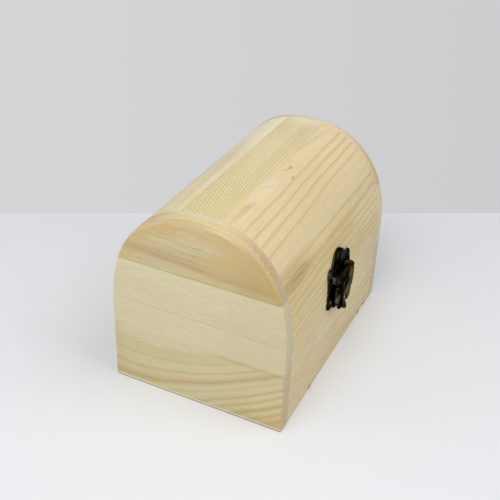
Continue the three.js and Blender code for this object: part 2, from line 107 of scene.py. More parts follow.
# The photograph's camera
EYE = (-301.34, -132.79, 253.86)
AZIMUTH, ELEVATION, ROLL = (math.radians(a) for a in (-65.568, 32.376, 2.514))
LENS, SENSOR = 61.47, 36.0
NEAREST, FARTHEST = 0.01, 20  # in metres
PICTURE = 500.0  # in pixels
FLOOR_LINE = 37.0  # how far the floor's far edge lies over the picture's middle, in pixels

# A white room with soft boxes round the chest: the way to each from the chest, and its power
FLOOR_SIZE = 6.0  # in metres, like all of the room
LIT_PLACE = Vector((0, 0, 0.04))
SOFT_BOX_DISTANCE = 0.8
SOFT_BOX_SIZE = 0.5
SOFT_BOXES = (((-0.6, 0, 1), 1.88), ((0, -0.6, 1), 1.55), ((-1, 0, 0.5), 0.94),
              ((-0.7, 0.7, 0.6), 0.66), ((0, -1, 0.5), 0.50), ((1, 0, 0.5), 0.15))


# Camera
def photo_axes():
    """The camera's right, up and back"""
    right = Vector((math.cos(AZIMUTH), math.sin(AZIMUTH), 0))
    back = Vector((math.sin(AZIMUTH) * math.cos(ELEVATION),
                   -math.cos(AZIMUTH) * math.cos(ELEVATION), math.sin(ELEVATION)))
    up = back.cross(right)
    turned = right * math.cos(ROLL) + up * math.sin(ROLL)
    return turned, up * math.cos(ROLL) - right * math.sin(ROLL), back


def set_camera():
    bpy.ops.object.camera_add()
    camera = bpy.context.object
    camera.name = "photo_camera"
    camera.data.sensor_width, camera.data.lens = SENSOR, LENS
    camera.data.clip_start, camera.data.clip_end = NEAREST, FARTHEST
    place = Matrix(photo_axes()).transposed().to_4x4()
    place.translation = Vector(EYE) * MM
    camera.matrix_world = place
    bpy.context.scene.camera = camera


def floor_point(across, up):
    """The place on the floor that the photograph shows at a distance from its middle"""
    right, top, back = photo_axes()
    ray = right * across + top * up - back * (LENS / SENSOR * PICTURE)
    return (Vector(EYE) - ray * (EYE[2] / ray.z)) * MM


# Values that a material works out at each point of a surface
class Field:
    def __init__(self, tree, socket):
        self.tree, self.socket = tree, socket

    def node(self, kind, *inputs, **settings):
        made = self.tree.nodes.new("ShaderNode" + kind)
        for key, value in settings.items():
            setattr(made, key, value)
        for i, value in enumerate(inputs):
            if isinstance(value, Field):
                self.tree.links.new(value.socket, made.inputs[i])
            else:
                made.inputs[i].default_value = value
        return made

    def math(self, operation, *others, clamp=False):
        made = self.node("Math", self, *others, operation=operation, use_clamp=clamp)
        return Field(self.tree, made.outputs[0])

    def __add__(self, other):
        return self.math("ADD", other)

    def __sub__(self, other):
        return self.math("SUBTRACT", other)

    def __mul__(self, other):
        return self.math("MULTIPLY", other)

    def __truediv__(self, other):
        return self.math("DIVIDE", other)

    def clamped(self):
        return self.math("ADD", 0.0, clamp=True)

    def step(self, start, end):
        """0 on the start's side and 1 on the end's, with a soft change between them"""
        made = self.node("MapRange", self, float(start), float(end), 0.0, 1.0,
                         interpolation_type="SMOOTHSTEP")
        return Field(self.tree, made.outputs[0])

    def curve(self, *points):
        """A ramp through (position, value) points"""
        made = self.node("ValToRGB", self)
        ramp = made.color_ramp
        for position, value in points[1:-1]:
            ramp.elements.new(position)
        for element, (position, value) in zip(ramp.elements, points):
            element.position = position
            element.color = (value, value, value, 1)
        return Field(self.tree, made.outputs[0])

    def profile(self, *points):
        """A value through (millimetres, value) points"""
        low, high = points[0][0], points[-1][0]
        share = (self - low) / (high - low)
        return share.curve(*(((at - low) / (high - low), value) for at, value in points))

    def scaled(self, x, y, z):
        made = self.node("VectorMath", self, (x, y, z), operation="MULTIPLY")
        return Field(self.tree, made.outputs[0])

    def moved(self, x, y, z):
        made = self.node("VectorMath", self, (x, y, z), operation="ADD")
        return Field(self.tree, made.outputs[0])

    def parts(self):
        made = self.node("SeparateXYZ", self)
        return [Field(self.tree, out) for out in made.outputs]

    def noise(self, x, y, z, detail=2.0, roughness=0.5):
        """Smooth noise from -0.5 to 0.5, with a grain of x, y and z millimetres"""
        made = self.tree.nodes.new("ShaderNodeTexNoise")
        self.tree.links.new(self.scaled(1 / x, 1 / y, 1 / z).socket, made.inputs["Vector"])
        made.inputs["Scale"].default_value = 1.0
        made.inputs["Detail"].default_value = detail
        made.inputs["Roughness"].default_value = roughness
        return Field(self.tree, made.outputs["Fac"]) - 0.5

    def dice(self, seed):
        """A random number for each whole number"""
        made = self.tree.nodes.new("ShaderNodeTexWhiteNoise")
        made.noise_dimensions = "1D"
        self.tree.links.new((self.math("FLOOR") + seed).socket, made.inputs["W"])
        return Field(self.tree, made.outputs["Value"])

    def tinted(self, colour, share):
        """This colour mixed with another by a share"""
        made = self.tree.nodes.new("ShaderNodeMix")
        made.data_type = "RGBA"
        for name, value in (("Factor_Float", share), ("A_Color", self), ("B_Color", colour)):
            socket = next(s for s in made.inputs if s.identifier == name)
            if isinstance(value, Field):
                self.tree.links.new(value.socket, socket)
            else:
                socket.default_value = value
        return Field(self.tree, next(s for s in made.outputs if s.identifier == "Result_Color"))


def plain_colour(tree, colour):
    made = tree.nodes.new("ShaderNodeRGB").outputs[0]
    made.default_value = colour
    return Field(tree, made)


def srgb(red, green, blue):
    """A colour as it shows on a screen, from 0 to 255, as Blender's linear colour"""
    linear = [(v / 255 / 12.92) if v < 11 else ((v / 255 + 0.055) / 1.055) ** 2.4
              for v in (red, green, blue)]
    return (*linear, 1.0)


def new_material(name):
    material = bpy.data.materials.new(name)
    material.use_nodes = True
    tree = material.node_tree
    shader = tree.nodes["Principled BSDF"]
    return material, tree, shader


def own_coordinates(tree, origin, turn):
    """Millimetres along, across and out of a piece"""
    place = tree.nodes.new("ShaderNodeTexCoord")
    mapping = tree.nodes.new("ShaderNodeMapping")
    mapping.vector_type = "TEXTURE"
    mapping.inputs["Location"].default_value = Vector(origin) * MM
    mapping.inputs["Rotation"].default_value = turn.to_euler()
    mapping.inputs["Scale"].default_value = (MM, MM, MM)
    tree.links.new(place.outputs["Object"], mapping.inputs["Vector"])
    return Field(tree, mapping.outputs["Vector"])


def turned_to(grain, across):
    grain, across = Vector(grain).normalized(), Vector(across).normalized()
    return Matrix((grain, across, grain.cross(across))).transposed()


def dent(tree, shader, height, strength, depth):
    """Fine dents in a surface, where its height is less"""
    bump = tree.nodes.new("ShaderNodeBump")
    bump.inputs["Strength"].default_value = strength
    bump.inputs["Distance"].default_value = depth * MM
    tree.links.new(height.socket, bump.inputs["Height"])
    tree.links.new(bump.outputs["Normal"], shader.inputs["Normal"])


# Pine
def growth_lines(at, late, seed, least):
    """Dark late wood at the end of each year's growth, by its share of a ring"""
    grown = at.math("FRACT").curve((0, 0), (1 - late, 0.06), (1 - late * 0.2, 1), (1, 0))
    return grown * (at.dice(seed) * (1 - least) + least)


class PineBoard:
    """Bare sanded pine, cut along its own grain. Layers are laid on one after the other.
    x runs along the grain, y across it and z out of the board's outer face."""

    LIGHT, WARM = 1.04, (0.94, 0.89, 0.80)  # times the wood's own colour
    TONE, STREAKS, FIBRE = 2.2, 3.2, 3.8  # how strongly it turns light or warm
    FIBRE_SHADE = (0.30, 0.21, 0.10, 1)
    FAINTEST_RING = 0.35
    FIBRE_HEIGHT, LINE_HEIGHT = 0.6, 0.5  # shares of the relief's depth
    RELIEF, RELIEF_DEPTH = 0.35, 0.06
    ROUGHNESS, SHINE = 0.62, 0.25

    def __init__(self, name, origin, grain, across, wood, seed, waves=0.6, streaks=0.5):
        self.material, self.tree, self.shader = new_material(name)
        self.grain = grain
        self.place = own_coordinates(self.tree, origin, turned_to(grain, across))
        self.x, self.y, self.z = self.place.parts()
        self.seed = seed
        self.log = self.place.moved(seed * 37, seed * 11, seed * 5)
        self.bend = self.log.noise(95, 26, 30, 1.0) * (5 * waves) + self.log.noise(17, 7, 9) * waves
        self.wander = self.log.noise(38, 14, 14, 1.0) * 2.2 + self.log.noise(8, 3, 4) * 0.65
        self.fine = self.log.noise(5.5, 0.22, 0.5, 3.0, 0.65)
        self.relief = self.fine * self.FIBRE_HEIGHT
        self.colour = plain_colour(self.tree, wood)
        light = tuple(min(1.0, v * self.LIGHT) for v in wood[:3]) + (1.0,)
        warm = tuple(v * w for v, w in zip(wood, self.WARM)) + (1.0,)
        tone = self.log.noise(60, 9, 12, 3.0, 0.55)
        self.tint(light, (tone * self.TONE).clamped())
        self.tint(warm, (tone * -self.TONE).clamped())
        streak = self.log.noise(70, 1.3, 3, 3.0, 0.6)
        self.tint(warm, (streak * (self.STREAKS * streaks)).clamped())
        fibre = self.log.noise(7, 0.75, 1.0, 2.0, 0.7)
        self.tint(warm, (fibre * self.FIBRE).clamped())
        self.tint(light, (fibre * -self.FIBRE).clamped())

    def tint(self, colour, share):
        self.colour = self.colour.tinted(colour, share)

    def zone(self, low, high, soft):
        """1 between two heights across the grain, and 0 outside them"""
        return self.y.step(low - soft, low + soft) * self.y.step(high + soft, high - soft)

    def rings(self, pith, spacing, strength, dark, late=0.5, slope=0.0, fan=None, uneven=0.3,
              mask=1.0):
        """Growth rings about a pith at (across, out). slope tilts them along the board, and
        fan = (middle, rate) spreads them."""
        y = self.y + self.bend + self.x * slope
        if fan:
            y = (y - fan[0]) * (self.x * fan[1] + 1.0) + fan[0]
        y, z = y - pith[0], self.z - pith[1]
        radius = (y * y + z * z).math("SQRT")
        seed = self.seed * 3.7 + spacing
        flat = Field(self.tree, radius.node("CombineXYZ", radius, 0.0, 0.0).outputs[0])
        jitter = flat.moved(seed, 0, 0).noise(spacing * 1.9, 1, 1) * (2 * uneven)
        lines = growth_lines(radius / spacing + jitter, late, seed, self.FAINTEST_RING)
        self.grow(lines * strength * mask, dark)

    def lines(self, at, colour, strength, *darkness, mask=1.0):
        """Late wood laid line by line: how dark it is at each place across the grain"""
        self.grow((at + self.wander).profile(*darkness) * strength * mask, colour)

    def grow(self, lines, colour):
        self.tint(colour, lines.clamped())
        self.relief = self.relief + lines * self.LINE_HEIGHT

    def stain(self, x, y, half_x, half_y, colour, strength, streak=0.35, grain=9.0, tilt=0.0):
        """A soft patch that frays out along the grain. tilt is its rise along the board."""
        near_x = (self.x - x) / half_x
        near_y = (self.y - y - (self.x - x) * tilt) / half_y
        frayed = self.place.noise(grain, 0.8, 3, 3.0, 0.6) * (2 * streak)
        distance = (near_x * near_x + near_y * near_y).math("SQRT") + frayed
        self.tint(colour, distance.step(1.15, 0.35) * strength)

    def streaks(self, colour, strength, length=12.0, width=0.5):
        """Fine streaks along the grain"""
        self.tint(colour, self.log.noise(length, width, 1.0, 2.0, 0.6).step(-0.02, 0.16) * strength)

    def dashes(self, colour, strength):
        """The short dark marks of resin canals"""
        self.tint(colour, self.log.noise(2.6, 0.2, 0.4, 1.0).step(0.15, 0.24) * strength)

    def end_grain(self, colour):
        """Darker, speckled wood where the surface cuts across the grain"""
        place = self.tree.nodes.new("ShaderNodeTexCoord")
        facing = self.tree.nodes.new("ShaderNodeVectorMath")
        facing.operation = "DOT_PRODUCT"
        facing.inputs[1].default_value = self.grain
        self.tree.links.new(place.outputs["Normal"], facing.inputs[0])
        across = Field(self.tree, facing.outputs["Value"]).math("ABSOLUTE").step(0.55, 0.95)
        speckle = self.place.noise(0.5, 0.5, 0.5, 2.0) * 0.8 + 0.8
        self.tint(colour, (across * speckle * 0.5).clamped())

    def finish(self, fibre=0.5):
        """Lays on the shade between the fibres, and gives the finished material"""
        self.tint(self.FIBRE_SHADE, (self.fine.math("ABSOLUTE") * fibre).clamped())
        self.tree.links.new(self.colour.socket, self.shader.inputs["Base Color"])
        roughness = (self.fine * 0.2 + self.ROUGHNESS).clamped()
        self.tree.links.new(roughness.socket, self.shader.inputs["Roughness"])
        self.shader.inputs["Specular IOR Level"].default_value = self.SHINE
        dent(self.tree, self.shader, self.relief, self.RELIEF, self.RELIEF_DEPTH)
        return self.material


# Where the boards lie
ALONG = (1, 0, 0)
UP = (0, 0, 1)
DOWN = (0, 0, -1)
TO_BACK = (0, 1, 0)


def sanded_arch():
    """Points of the lid's arch with their distance over it, from the front"""
    points = []
    for i in range(ARCH_STEPS + 1):
        turn = math.pi * i / ARCH_STEPS
        across = math.cos(turn)
        y = -HALF_DEPTH * math.copysign(abs(across) ** (2 / ARCH_EXPONENT), across)
        z = SPRING + (CROWN - SPRING) * abs(math.sin(turn)) ** (2 / ARCH_EXPONENT)
        if z >= PARTING:
            gone = math.dist((y, z), points[-1][:2]) + points[-1][2] if points else 0.0
            points.append((y, z, gone))
    return points


ARCH = sanded_arch()


def stave(name, number, wood, seed, **more):
    """A stave's grain runs along the chest. Staves are numbered from the front, and each has
    its middle where y is 0, with y up and over the arch."""
    far = ARCH[-1][2] * (STAVE_JOINTS[number] + STAVE_JOINTS[number + 1]) / 2
    i = min(range(1, len(ARCH)), key=lambda k: abs(ARCH[k][2] - far))
    (y0, z0, _), (y1, z1, _) = ARCH[i - 1], ARCH[i]
    return PineBoard(name, (0.0, y1, z1), ALONG, (0.0, y1 - y0, z1 - z0), wood, seed, **more)


def end_board(name, side, height, wood, seed, **more):
    """An end board's grain runs to the front on the left end (side -1), to the back on the right"""
    return PineBoard(name, (side * HALF_LENGTH, 0, height), (0, side, 0), UP, wood, seed, **more)


# Each board's own wood, as the photograph shows it
def lower_end_pine(side, seed):
    board = end_board(f"pale_end_pine_{seed}", side, 0, srgb(215, 206, 170), seed,
                      waves=0.5, streaks=0.25)
    front, up = board.x * -side, board.y
    board.stain(side * -30, 36, 26, 36, srgb(206, 195, 156), 0.4, streak=0.2)
    # The growth lines run together at the front edge, and rise to it from the board's back.
    # They are counted five to a year, from the strongest one
    to_front, front_bend, rise, twist, rise_bend, start = (
        -0.444, -0.00609, 1.049, 0.00631, -0.00248, -10.94)
    year = (front * to_front + front * front * front_bend + up * rise + front * up * twist
            + up * up * rise_bend + start)
    below = up.step(31.3, 29.0)
    board.tint(srgb(210, 196, 150), year.step(17, 12) * below * 0.4)
    board.tint(srgb(204, 176, 120), year.step(-10, -32) * 0.5)
    board.stain(side * 40, 14, 6, 24, srgb(200, 184, 130), 0.3, streak=0.2)
    board.stain(side * -36, 10, 14, 12, srgb(228, 214, 170), 0.5, streak=0.2)
    board.lines(year, srgb(186, 154, 96), 0.74, (-35, 0.5), (-30, 0.9), (-27.5, 0.3), (-25, 0.8),
                (-23, 0.15), (-21.5, 0.3), (-20, 1), (-19, 0.8), (-17.5, 0.15), (-15.8, 0.2),
                (-14.5, 0.75), (-12.5, 0.1), (-11.2, 0.15), (-10, 0.8), (-9, 0.3), (-7.5, 0.05),
                (-5.6, 0.1), (-5, 0.45), (-4.2, 0.15), (-2.6, 0), (-0.9, 0.55), (0, 1),
                (0.8, 0.6), (2.2, 0.25), (3.8, 0.05), (4.6, 0.45), (5.2, 0.5), (6.2, 0.05),
                (9, 0.1), (10.2, 0.45), (11, 0.15), (17, 0), mask=below)
    board.lines(up, srgb(190, 162, 112), 0.6, (26, 0), (28.6, 0.1), (29.5, 1), (30.1, 0.1), (32, 0),
                mask=front.step(0, 14))
    board.lines(year, srgb(192, 172, 116), 0.4, (10, 0), (12.5, 0.4), (14.5, 0.8), (16, 0.2),
                (22, 0), mask=below)
    board.rings((-160, -40), 2.1, 0.10, srgb(196, 176, 124), mask=up.step(26, 38))
    board.streaks(srgb(190, 172, 128), 0.16)
    board.dashes(srgb(176, 150, 100), 0.4)
    board.end_grain(srgb(200, 187, 158) if side < 0 else srgb(226, 216, 192))
    # A pale strip along the foot of its face, and under it a dark line of painted contact shadow
    # where it meets the floor
    face = board.z.step(-0.9, -0.5)
    foot = up.profile((0, 0), (0.45, 0), (0.7, 1), (1.1, 0.9), (1.5, 0), (9, 0))
    board.tint(srgb(232, 228, 206), foot * face * 0.75)
    board.tint(srgb(112, 104, 84), up.step(0.55, 0.3) * face * 0.8)
    # A pinkish line down the front corner, darker than the strip beside it
    corner = front.step(39.3, 39.7) * board.z.step(-6.2, -3.6) * up.step(2, 9) * up.step(36, 24)
    board.tint(srgb(188, 158, 132), corner * 0.3)
    return board.finish(0.4)


def upper_end_pine(side, seed):
    board = end_board(f"brown_end_pine_{seed}", side, END_GLUE_LINE, srgb(213, 200, 158), seed,
                      waves=0.3, streaks=0.35)
    front = board.x * -side
    slope = -side * 0.055
    board.rings((-120, 60), 0.9, 0.30, srgb(178, 150, 100), late=0.6, slope=slope, uneven=0.4)
    board.rings((-120, 60), 2.9, 0.22, srgb(182, 152, 104), slope=slope, uneven=0.4)
    board.stain(side * -14, 11, 20, 3.2, srgb(200, 180, 120), 0.6, streak=0.5)
    board.stain(side * -10, 18.3, 26, 3.8, srgb(218, 204, 174), 0.8, streak=0.5)
    board.lines(board.y + front * 0.06, srgb(178, 150, 104), 0.72, (0, 0.1), (2.2, 0.15),
                (3.4, 0.4), (4.3, 0.45), (5.1, 0.85), (6, 0.95), (6.7, 0.6), (7.8, 0.65),
                (8.8, 0.35), (10, 0.3), (12, 0.1), (14.6, 0.05), (15, 0.4), (15.4, 0.05),
                (17.6, 0.08), (18, 0.35), (18.4, 0.05), (21, 0.1), (21.5, 0.3), (22, 0.1),
                (26, 0.15))
    board.streaks(srgb(170, 144, 98), 0.34, 13)
    board.tint(srgb(174, 150, 112), board.y.step(0.75, 0.15) * 0.5)
    board.tint(srgb(192, 168, 112), front.step(10, 28) * board.zone(5, 10, 3) * 0.5)
    sand_bevel(board, front, 0.8 if side < 0 else 0.25)
    board.dashes(srgb(170, 140, 92), 0.35)
    board.end_grain(srgb(194, 178, 146))
    return board.finish()


def sand_bevel(board, front, brown):
    """The sanded bevel cuts through the board's layers, so that they follow the arch.
    brown says how dark the end grain at its two ends is."""
    depth = board.z * -1.0
    bevel = depth.step(0.05, 0.4)
    speckle = (board.place.noise(0.9, 0.9, 0.9, 2.0) * 1.4 + 0.7).clamped()
    board.tint(srgb(219, 201, 158), bevel * 0.85)
    # Painted shade: the inner part of the bevel, towards the front, is darkened to the tone of the
    # face beside it
    board.tint(srgb(199, 179, 137), depth.step(1.9, 1.3) * front.step(12, 0) * bevel * 0.85)
    stripes = (depth + board.wander * 0.3).profile(
        (0, 0), (0.1, 0.9), (0.45, 0.2), (0.9, 0), (1.3, 0.75), (1.6, 0.1), (2.1, 0.05),
        (2.4, 0.6), (2.7, 0.1), (3.2, 0.5), (3.4, 0), (4.4, 0), (4.7, 0.3), (5, 0), (6, 0.1))
    board.tint(srgb(206, 172, 112), stripes * 0.7)
    board.tint(srgb(230, 220, 190), depth.step(3.3, 3.8) * speckle * 0.8)
    # Towards the shoulders it is browner and sawn rough, with a yellow line along its inner edge
    off_crown = front.math("ABSOLUTE")
    board.tint(srgb(208, 187, 150), off_crown.step(7, 22) * bevel * brown)
    saw_marks = (board.place.noise(3.0, 0.6, 0.6, 2.0, 0.7) * 4.5 + 0.6).clamped()
    sawn = off_crown.step(14, 30) * depth.step(0.8, 1.6) * depth.step(7.0, 3.4)
    board.tint(srgb(178, 150, 112), sawn * saw_marks * brown)
    inner = front.step(10, 26) * depth.profile((0, 0.5), (0.3, 1), (0.8, 0.8), (1.4, 0), (9, 0))
    board.tint(srgb(188, 156, 96), inner * 0.85)


def crown_stave_pine():
    board = stave("crown_stave_pine", 2, srgb(233, 218, 174), 3, waves=0.3, streaks=0.3)
    # The lines bend to the front at the near end, except along the front joint
    half_width, bend_start, bend = 9.4, -2, 0.0019
    past = (board.x * -1.0 + bend_start).math("MAXIMUM", 0.0)
    off_joint = ((board.y + half_width) / 8).clamped()
    line = board.y + past * past * bend * off_joint
    near = board.x.step(22, -34) * 0.85 + 0.15
    strength = near.math("MAXIMUM", board.y.step(-1.2, -2.6) * 0.8)
    jitter = board.log.noise(60, 1.6, 6) * 0.7 + board.log.noise(14, 5, 5) * 0.35
    grown = growth_lines(line / 1.5 + jitter, 0.6, 33, 0.75) * strength
    board.grow(grown, srgb(190, 171, 117))
    fine = growth_lines(line / 0.72 + jitter * 1.6, 0.6, 34, 0.6) * near
    board.tint(srgb(196, 178, 124), fine * 0.5)
    board.streaks(srgb(198, 182, 134), 0.15, 9, 0.6)
    board.stain(-46, 0, 20, 12, srgb(216, 198, 148), 0.35)
    board.stain(54, 0, 12, 12, srgb(244, 232, 204), 0.8, streak=0.15)
    board.dashes(srgb(186, 160, 104), 0.25)
    return board.finish(0.45)


def front_stave_pine():
    board = stave("front_stave_pine", 1, srgb(229, 209, 166), 4, waves=0.22, streaks=0.35)
    board.tint(srgb(238, 218, 174), board.x.step(-10, 48))
    board.stain(-45, -15.6, 30, 2.4, srgb(196, 172, 122), 0.8, streak=0.5)
    # Pale figure beside a small knot, above the lines
    board.stain(-20, 13.2, 20, 3.6, srgb(230, 219, 184), 0.5, streak=0.8, grain=7, tilt=0.04)
    board.stain(-18, 13, 7, 0.9, srgb(214, 202, 166), 0.5, streak=0.6, grain=4, tilt=-0.5)
    board.stain(-8, 12.6, 6, 0.6, srgb(216, 202, 164), 0.4, streak=0.6, grain=4, tilt=-0.35)
    board.stain(-38, 12.6, 8, 1.5, srgb(200, 172, 130), 0.65, streak=0.8, grain=4, tilt=-0.03)
    board.stain(-46, 13, 7, 1.8, srgb(206, 188, 154), 0.6, streak=0.8, grain=3)
    board.stain(30, 14.2, 21, 0.8, srgb(214, 190, 140), 0.5, streak=0.4, tilt=-0.07)
    board.stain(40, 12.2, 16, 1.0, srgb(216, 192, 142), 0.3, streak=0.5, tilt=-0.05)
    # The lines spread from the upper joint towards the far end
    upper = 11
    spread = board.x.step(-50, 20) * 0.175 + 0.905
    line = (board.y - upper) * spread + upper
    board.lines(line, srgb(207, 181, 132), 0.95, (-16, 0), (-11.5, 0.1), (-9.2, 0.3), (-8.2, 0.1),
                (-5.9, 0.3), (-5.25, 0.9), (-4.7, 0.2), (-2.6, 0.05), (-1.5, 0.35), (-0.85, 1),
                (-0.3, 0.15), (1.4, 0.05), (2.6, 0.3), (3.25, 1), (3.8, 0.15), (5.8, 0.05),
                (6.9, 0.3), (7.55, 0.9), (8.1, 0.1), (12, 0))
    board.rings((-120, -20), 1.6, 0.16, srgb(210, 180, 128), fan=(upper, 0.0017))
    # The knot, and a smaller one under it
    board.stain(3.8, 11.9, 2.4, 0.8, srgb(178, 142, 78), 0.6, streak=0.4, grain=2, tilt=-0.1)
    board.stain(0.5, 12.6, 3.4, 0.5, srgb(196, 166, 110), 0.6, streak=0.3, grain=3, tilt=-0.35)
    board.stain(-2.6, 7.9, 1.6, 0.7, srgb(184, 152, 102), 0.6, streak=0.5, grain=2, tilt=0.2)
    board.stain(0, -13.5, 90, 4.2, srgb(218, 204, 165), 0.55)
    board.dashes(srgb(190, 156, 100), 0.3)
    return board.finish(0.45)


def back_stave_pine():
    board = stave("back_stave_pine", 3, srgb(235, 223, 190), 5)
    board.tint(srgb(252, 244, 214), board.x.step(-5, 45))
    board.tint(srgb(212, 196, 152), board.x.step(-20, -48) * 0.3)
    board.rings((-120, -20), 3.4, 0.28, srgb(198, 174, 124))
    board.stain(-10, -8, 50, 2.4, srgb(206, 184, 130), 0.25, streak=0.5, tilt=0.06)
    board.dashes(srgb(186, 160, 108), 0.3)
    return board.finish(0.45)


def lid_board_pine():
    board = stave("lid_board_pine", 0, srgb(228, 209, 160), 6, waves=0.3, streaks=0.6)
    # Brown streaks at the near end
    board.tint(srgb(198, 174, 122), board.x.step(-14, -44) * board.y.step(3, 9) * 0.6)
    brown = board.log.noise(16, 0.55, 1.0, 2.0, 0.7).step(-0.12, 0.1) * board.x.step(-20, -38)
    board.tint(srgb(158, 124, 72), brown * board.zone(6.5, 11.5, 1.2) * 0.75)
    board.tint(srgb(176, 146, 92), brown * board.zone(-4, 6.5, 2) * 0.25)
    board.stain(-2, 4, 30, 6, srgb(208, 186, 136), 0.4, streak=0.5)
    board.stain(46, 2, 26, 12, srgb(240, 222, 178), 0.7, streak=0.4)
    board.streaks(srgb(186, 162, 114), 0.3)
    board.lines(board.y, srgb(188, 164, 118), 0.66, (-16, 0.2), (-13.6, 0.1), (-12.7, 0.7),
                (-12, 0.1), (-10.2, 0.05), (-9.3, 0.8), (-8.6, 0.1), (-7, 0.05), (-6.1, 0.7),
                (-5.4, 0.1), (-3.7, 0), (-2.8, 0.75), (-2.1, 0.1), (0, 0.05), (1, 0.8), (1.7, 0.1),
                (3.7, 0), (4.7, 0.8), (5.4, 0.1), (7.2, 0.1), (8.1, 0.8), (8.8, 0.4), (9.2, 0.8),
                (10, 0.1), (12.6, 0), (13.5, 0.7), (14.1, 0.1), (15, 0.1))
    board.rings((-130, -20), 1.1, 0.2, srgb(180, 152, 104))
    board.dashes(srgb(172, 144, 96), 0.4)
    return board.finish()


def base_board_pine():
    board = PineBoard("base_board_pine", (0, -HALF_DEPTH, 0), ALONG, UP, srgb(231, 215, 174), 7,
                      waves=0.3, streaks=0.7)
    # The lines fall to the far end, the lower the steeper
    near_end, fall = -52, 0.0024
    line = board.y + (board.x - near_end) * (board.y * -1.0 + PARTING) * fall
    jitter = board.log.noise(70, 2, 6) * 0.6
    grown = growth_lines((line + board.wander) / 3.0 + jitter, 0.6, 71, 0.4)
    board.tint(srgb(184, 161, 116), grown * 0.62)
    board.relief = board.relief + grown * board.LINE_HEIGHT
    fine = growth_lines((line + board.wander) / 0.95 + jitter * 2.0, 0.6, 72, 0.3)
    board.tint(srgb(188, 166, 122), fine * 0.25)
    board.streaks(srgb(184, 162, 118), 0.3)
    # Dust in the joints to the end boards, and dark spots of painted shade along the foot, where
    # its edge is chipped
    dust = board.place.noise(3, 3, 3, 2.0).step(-0.3, 0.2)
    board.tint(srgb(160, 138, 104), board.x.math("ABSOLUTE").step(51.2, 52.1) * dust * 0.55)
    for x, half in ((-27.5, 1.8), (36, 2.2), (44.5, 2.4), (54, 3.2)):
        board.stain(x, 0.4, half, 1.9, srgb(98, 74, 42), 0.9, streak=0.3, grain=2)
    board.dashes(srgb(172, 146, 98), 0.4)
    return board.finish()


def back_board_pine():
    board = PineBoard("back_board_pine", (0, HALF_DEPTH, 0), ALONG, DOWN, srgb(224, 209, 172), 8,
                      waves=0.7)
    board.rings((-170, -30), 3.6, 0.5, srgb(190, 160, 110), uneven=0.35)
    board.rings((-170, -30), 1.3, 0.16, srgb(184, 156, 106))
    board.dashes(srgb(176, 150, 100), 0.35)
    return board.finish()


def panel_pine():
    board = PineBoard("panel_pine", (0, 0, PANEL_TOP), ALONG, TO_BACK, srgb(222, 206, 166), 9,
                      waves=1.0)
    board.rings((-46, -30), 4.4, 0.42, srgb(192, 162, 112))
    board.dashes(srgb(180, 152, 102), 0.4)
    return board.finish()


# Painted highlights and reflections on the hasp, with some worn plating among them: the middle of
# each patch, half its size, and its colour
PAINTED_GLINTS_AND_WORN_PLATING = (
    ((3.0, -40, 54.4), (4.6, 2.5, 3.2), (0.082, 0.088, 0.082, 1)),
    ((-3.6, -39.4, 57), (2.6, 1.4, 2.2), (0.075, 0.060, 0.040, 1)),
    ((2.2, -44.3, 44.8), (4.4, 1.3, 5.4), (0.25, 0.225, 0.160, 1)),
    ((-1.0, -44.3, 37.6), (4.0, 1.3, 4.6), (0.27, 0.225, 0.105, 1)),
    ((-11.8, -43.9, 39.4), (2.6, 1.2, 3.0), (0.17, 0.17, 0.165, 1)),
    ((-13.4, -40.2, 52), (2.6, 1.5, 4.2), (0.080, 0.070, 0.040, 1)),
    ((-13.2, -40.7, 45.6), (1.8, 1.2, 3.4), (0.16, 0.145, 0.115, 1)),
    ((-11.2, -41, 48.4), (0.7, 1.2, 2.6), (0.13, 0.13, 0.105, 1)),
    ((3.8, -43, 49.9), (1.8, 2.0, 2.4), (0.065, 0.048, 0.012, 1)),
    ((3.6, -41.2, 50.2), (1.2, 0.8, 2.2), (0.24, 0.21, 0.16, 1)),
    ((-13.0, -40.9, 38.6), (2.0, 1.2, 2.8), (0.14, 0.125, 0.095, 1)))


def bronze(name, body, patina, rub, rough, glints_and_wear=()):
    """Plated metal: a dark body with blotches of patina, and patches of painted highlight and
    reflection, some of them worn plating
    """
    dents, dent_depth = 0.6, 0.14
    material, tree, shader = new_material(name)
    place = own_coordinates(tree, (0, 0, 0), Matrix.Identity(3))
    mottle = place.noise(2.2, 2.2, 2.2, 3.0, 0.6)
    grit = place.noise(0.35, 0.35, 0.35, 2.0)
    colour = plain_colour(tree, body).tinted(patina, mottle.step(-0.05, 0.25) * rub)
    # Patches of painted highlight and reflection, and some of worn plating
    for middle, half, shade in glints_and_wear:
        near = place.moved(*(-v for v in middle)).scaled(*(1 / v for v in half))
        far = Field(tree, near.node("VectorMath", near, operation="LENGTH").outputs["Value"])
        colour = colour.tinted(shade, (far + mottle * 0.8).step(1.15, 0.55))
    tree.links.new(colour.socket, shader.inputs["Base Color"])
    roughness = (mottle * 0.35 + grit * 0.25 + rough).clamped()
    tree.links.new(roughness.socket, shader.inputs["Roughness"])
    shader.inputs["Metallic"].default_value = 1.0
    shader.inputs["Specular Tint"].default_value = (0.26, 0.25, 0.24, 1)
    dent(tree, shader, mottle + grit * 0.3, dents, dent_depth)
    return material


# Pieces
def alone(piece):
    bpy.ops.object.select_all(action="DESELECT")
    piece.select_set(True)
    bpy.context.view_layer.objects.active = piece


def copied(node, name):
    """A copy of a CAD node's mesh, merged into whole faces"""
    piece = bpy.data.objects.new(name, frame["nodes"][node].data.copy())
    bpy.context.scene.collection.objects.link(piece)
    piece.data.name = name
    piece.data.materials.clear()
    alone(piece)
    bpy.ops.mesh.customdata_custom_splitnormals_clear()
    bpy.ops.object.mode_set(mode="EDIT")
    bpy.ops.mesh.select_all(action="SELECT")
    bpy.ops.mesh.remove_doubles(threshold=MERGED * MM)
    bpy.ops.mesh.dissolve_limited(angle_limit=FLAT_ANGLE)
    bpy.ops.object.mode_set(mode="OBJECT")
    return piece


